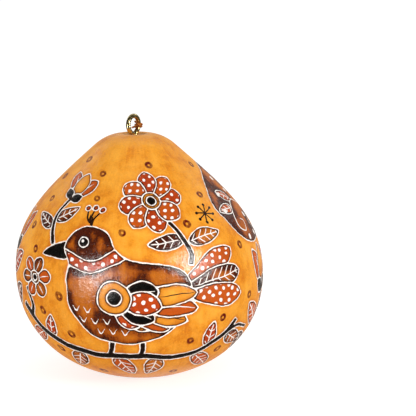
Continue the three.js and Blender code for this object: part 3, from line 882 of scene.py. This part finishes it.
# the colours laid over each other: each coat starts from a colour, and every share lays the next one over it
coats = {name: linear(colour) for name, colour in skinColours.items()}
for name, first, layers in (
        ("amber", "amberMid", ((amberRise, "amberHigh"), (amberDeep, "amberLow"))),
        ("brown", "brownDark", ((brownFirst, "brownMid"), (brownRise, "brownLight"))),
        ("red", "redDark", ((redRise, "redLight"), (inRust, "rust"))),
        ("bark", "barkDark", ((fine, "barkLight"),)),
        ("skin", "amber", ((amberBurn, "brownLight"), (inBrown, "brown"), (inRed, "red"), (inBlack, "black"),
                           (ring, "burntRing"), (burntMark, "burntEdge"), (scorch, "burntEdge"),
                           (cutShow, "cut"), (scar, "bark")))):
    coats[name] = coats[first]
    for share, over in layers:
        coats[name] = addNode(tree, "Mix", {0: share, 6: coats[name], 7: coats[over]}, 2, data_type="RGBA")

# wax: satin, duller in the cuts and the scars, with a milky film that shows along the outline; the surface
# sinks 0.1 mm in a cut and has pores of 0.5 to 0.8 mm
gloss = ramp(tree, fine, 0.3, 0.7, *skinFinish["gloss"])
for part, share in ((cut, 0.3), (scar, 0.4)):
    gloss = calc(tree, "MULTIPLY_ADD", part, share, gloss, clamp=True)
relief = 0.0
for part, share in ((softCut, -0.1), (dot, -0.08), (ring, -0.03), (fine, 0.06), (streaks, 0.03),
                    (mottles, 0.1), (scar, -0.1), (waxGrain, 0.12)):
    relief = calc(tree, "MULTIPLY_ADD", part, share, relief)
bump = addNode(tree, "Bump", {"Strength": 1.0, "Distance": 0.001, "Height": relief})
edgeWax = addNode(tree, "LayerWeight", {"Blend": 0.5}, "Facing")
edgeWax = ease(tree, edgeWax, 0.42, 0.88, *skinFinish["edgeWax"])
wax = ramp(tree, waxGrain, 0.36, 0.64, *skinFinish["wax"])
wax = calc(tree, "MULTIPLY", wax, edgeWax)
coatWith(skinMaterial, addNode(tree, "BsdfPrincipled", {
    "Base Color": coats["skin"], "Roughness": gloss, "Normal": bump, "IOR": 1.45, "Specular IOR Level": 0.0,
    "Sheen Weight": 0.35, "Sheen Roughness": 0.3, "Sheen Tint": coats["waxFilm"],
    "Coat Weight": wax, "Coat Roughness": 0.19, "Coat IOR": 2.0, "Coat Normal": bump}), [gourdSkin])

print("screw eye")
screwEye = {
    "place": (-1.1395, 0.0, 77.6), "turn": 55.0, "wire": 1.5, "loopRadius": 2.85, "loopMiddle": 3.8,
    "loopStart": -58.0, "loopEnd": 262.0, "loopSideways": 0.35, "sidewaysFrom": 90.0, "loopOffset": 0.9,
    "loopPoints": 22, "neck": 1.5, "shankLength": 9.5, "shankCut": 7.2, "shankEase": 1.0, "coreRadius": 0.7,
    "pointLength": 2.4, "pointLeast": 0.04, "pointCurve": 0.8, "endLength": 0.14, "endDrop": 0.1,
    "threadPitch": 1.0, "threadDepth": 0.24, "threadStart": 1.6, "rows": 360, "columns": 28,
    "bright": "F6E2A4", "tarnished": "967634",
}


def eyeLoop(degrees):
    # a circle whose far end is bent sideways, so that the wire passes beside its own neck
    a, bendFrom = np.radians(degrees), screwEye["sidewaysFrom"]
    sideways = -screwEye["loopSideways"] * smooth((degrees - bendFrom) / (screwEye["loopEnd"] - bendFrom))
    return np.stack([screwEye["loopRadius"] * np.cos(a) - screwEye["loopOffset"], sideways,
                     screwEye["loopMiddle"] + screwEye["loopRadius"] * np.sin(a)], -1)


def inEyePlace(points):
    # from the eye's own frame, shank down along -Z and loop in XZ, to its place on the stem
    t = np.radians(screwEye["turn"])
    spin = np.array([[np.cos(t), np.sin(t), 0], [-np.sin(t), np.cos(t), 0], [0, 0, 1]])
    return points @ spin + np.array(screwEye["place"])


def screwEyeGrid():
    # wire carried along the shank and loop; on the shank the radius follows a helix, whose crests are sharp,
    # as the cube of a raised cosine is, and it runs out to a point
    angles = np.linspace(screwEye["loopStart"], screwEye["loopEnd"], screwEye["loopPoints"])
    route = np.vstack([(0, 0, -screwEye["neck"]), (0, 0, 0), eyeLoop(angles)])
    line = evenly(np.vstack([(0, 0, -screwEye["shankLength"]), curveThrough(route, 14)]), screwEye["rows"])
    run, full = runOf(line)[:, None], screwEye["wire"] / 2
    inShank = 1 - smooth((run - screwEye["shankCut"]) / screwEye["shankEase"])
    point = np.clip(run / screwEye["pointLength"], screwEye["pointLeast"], 1) ** screwEye["pointCurve"]
    core = full + (screwEye["coreRadius"] - full) * inShank
    crest = 2 * np.pi * run / screwEye["threadPitch"] - aroundOnce(screwEye["columns"])
    crest = (0.5 + 0.5 * np.cos(crest)) ** 3
    drop = 1 - np.sqrt(np.clip((run[-1] - run) / screwEye["endLength"], 0, 1))
    ridge = screwEye["threadDepth"] * crest * inShank * smooth(run / screwEye["threadStart"])
    return tubeGrid(line, core * point * (1 - screwEye["endDrop"] * drop) + ridge, (0, 1, 0))


eyeGrid = inEyePlace(screwEyeGrid())
eye = addTube("brassScrewEye", eyeGrid, np.linspace(0.01, 0.99, len(eyeGrid)))
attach(eye, "root")
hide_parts("screw_eye")

# Brass-plated steel wire, drawn and cold bent: mirror-like but for shallow dents 1 mm wide, a grain of
# 0.25 mm and tarnish in patches.
brass, tree, mm = newMaterial("brassPlatedWire")
tarnish = addNode(tree, "TexNoise", {"Vector": mm, "Scale": 0.9, "Detail": 4.0, "Roughness": 0.6})
tarnish = ramp(tree, tarnish, 0.42, 0.7)
dents, grain = [addNode(tree, "TexNoise", {"Vector": mm, "Scale": scale, "Detail": 1.0})
                for scale in (0.9, 4.0)]
relief = calc(tree, "MULTIPLY_ADD", dents, 8.0, grain)
metal = addNode(tree, "Mix", {0: tarnish, 6: linear(screwEye["bright"]), 7: linear(screwEye["tarnished"])}, 2,
                data_type="RGBA")
shine = ramp(tree, tarnish, 0.0, 1.0, 0.2, 0.32)
bump = addNode(tree, "Bump", {"Strength": 1.0, "Distance": 0.00003, "Height": relief})
coatWith(brass, addNode(tree, "BsdfPrincipled", {
    "Base Color": metal, "Metallic": 1.0, "Roughness": shine, "Normal": bump}), [eye])

print("thread")
threadTie = {
    "thickness": 0.66, "angle": -12.0, "plyLength": 1.5, "plyDepth": 0.16, "press": 0.03,
    "coilFrom": 50.0, "coilTo": -600.0, "coilLift": 0.62, "coilPoints": 37,
    "firstEnd": [(-2.1, -1.0, 0.9), (-1.5, -0.7, 1.1), (-0.85, -0.3, 1.3), (-0.2, 0.15, 1.45)],
    "lastEnd": [(-0.1, -0.55, 1.45), (0.35, -0.1, 1.8), (0.1, 0.4, 1.85), (-0.45, 0.7, 1.4), (-1.0, 1.0, 1.1),
                (-1.45, 1.3, 1.0)],
    "endLength": 0.15, "endLeast": 0.12, "rows": 420, "columns": 16,
    "dyeDark": "541200", "dyeLight": "D8801E",
}


def threadLine():
    # a cut end, two turns round the loop's wire and a half knot over them, then the other cut end; each point
    # is given to the camera's right, along the wire and towards the camera, from the middle of the wire
    a, t = np.radians(threadTie["angle"]), np.radians(screwEye["turn"])
    out, along = np.array([np.cos(a), 0, np.sin(a)]), np.array([-np.sin(a), 0, np.cos(a)])
    side = np.array([0, 1, 0])
    right, toward = np.cos(t) * out - np.sin(t) * side, -np.sin(t) * out - np.cos(t) * side
    hold = screwEye["wire"] / 2 + threadTie["thickness"] / 2 - threadTie["press"]
    turn = np.radians(np.linspace(threadTie["coilFrom"], threadTie["coilTo"], threadTie["coilPoints"]))
    lift = np.linspace(threadTie["coilLift"], -threadTie["coilLift"], threadTie["coilPoints"])
    coil = np.stack([hold * np.cos(turn), lift, hold * np.sin(turn)], 1)
    parts = np.vstack([threadTie["firstEnd"], coil, threadTie["lastEnd"]])
    local = eyeLoop(np.array(threadTie["angle"])) + parts @ np.stack([right, along, toward])
    return inEyePlace(evenly(curveThrough(local, 6), threadTie["rows"]))


line = threadLine()
run = runOf(line)[:, None]
plies = np.abs(np.cos(aroundOnce(threadTie["columns"]) - np.pi * run / threadTie["plyLength"]))
endRound = np.sqrt(np.clip(np.minimum(run, run[-1] - run) / threadTie["endLength"], threadTie["endLeast"], 1))
radius = threadTie["thickness"] / 2 * endRound * (1 - threadTie["plyDepth"] + threadTie["plyDepth"] * plies)
thread = addTube("threadTie", tubeGrid(line, radius, (0.35, 0.2, 0.91)), np.linspace(0.01, 0.99, len(line)))
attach(thread, "root")
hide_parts("thread_knot")

# Waxed linen thread of two plies: a low sheen on the wax and tufts of dyed fibre, 0.4 mm, coarser than real
# to show.
waxed, tree, mm = newMaterial("waxedLinenThread")
fibres = addNode(tree, "TexNoise", {"Vector": mm, "Scale": 2.4, "Detail": 4.0, "Distortion": 1.0})
dyed = ramp(tree, fibres, 0.36, 0.66)
dye = addNode(tree, "Mix", {0: dyed, 6: linear(threadTie["dyeDark"]), 7: linear(threadTie["dyeLight"])}, 2,
              data_type="RGBA")
bump = addNode(tree, "Bump", {"Strength": 0.8, "Distance": 0.00008, "Height": fibres})
coatWith(waxed, addNode(tree, "BsdfPrincipled", {
    "Base Color": dye, "Roughness": 0.6, "Normal": bump, "Specular IOR Level": 0.3}), [thread])

print("pith and seeds")
# Dried pith: a spongy skin of torn fibres on the inside of the wall, dead matt and pale straw.
pith, tree, mm = newMaterial("driedGourdPith")
fibres = addNode(tree, "TexNoise", {"Vector": mm, "Scale": 0.9, "Detail": 5.0, "Distortion": 1.4})
cells = addNode(tree, "TexVoronoi", {"Vector": mm, "Scale": 1.1}, "Distance")
straw = addNode(tree, "Mix", {0: fibres, 6: linear("B39F6C"), 7: linear("EBDDB6")}, 2, data_type="RGBA")
sponge = calc(tree, "MULTIPLY_ADD", cells, 0.7, fibres)
bump = addNode(tree, "Bump", {"Strength": 0.9, "Distance": 0.0004, "Height": sponge})
lining = addNode(tree, "BsdfPrincipled", {"Base Color": straw, "Roughness": 0.95, "Normal": bump})
coatWith(pith, lining, [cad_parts["pith_lining"]])

# Dry gourd seeds: a thin, dull, corky coat, tan with darker blotches of 2 mm and fine ridges of 0.3 mm.
seedCoat, tree, mm = newMaterial("drySeedCoat")
blotches = addNode(tree, "TexNoise", {"Vector": mm, "Scale": 0.5, "Detail": 4.0, "Roughness": 0.6})
ridges = addNode(tree, "TexNoise", {"Vector": mm, "Scale": 3.2, "Detail": 3.0, "Distortion": 0.6})
tan = addNode(tree, "Mix", {0: blotches, 6: linear("6A4A28"), 7: linear("C9A56E")}, 2, data_type="RGBA")
bump = addNode(tree, "Bump", {"Strength": 0.7, "Distance": 0.00015, "Height": ridges})
coat = addNode(tree, "BsdfPrincipled", {"Base Color": tan, "Roughness": 0.72, "Normal": bump})
coatWith(seedCoat, coat, [node for name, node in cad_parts.items() if name.startswith("seed_")])

print("sizes")
bpy.context.scene.view_settings.view_transform = "Standard"
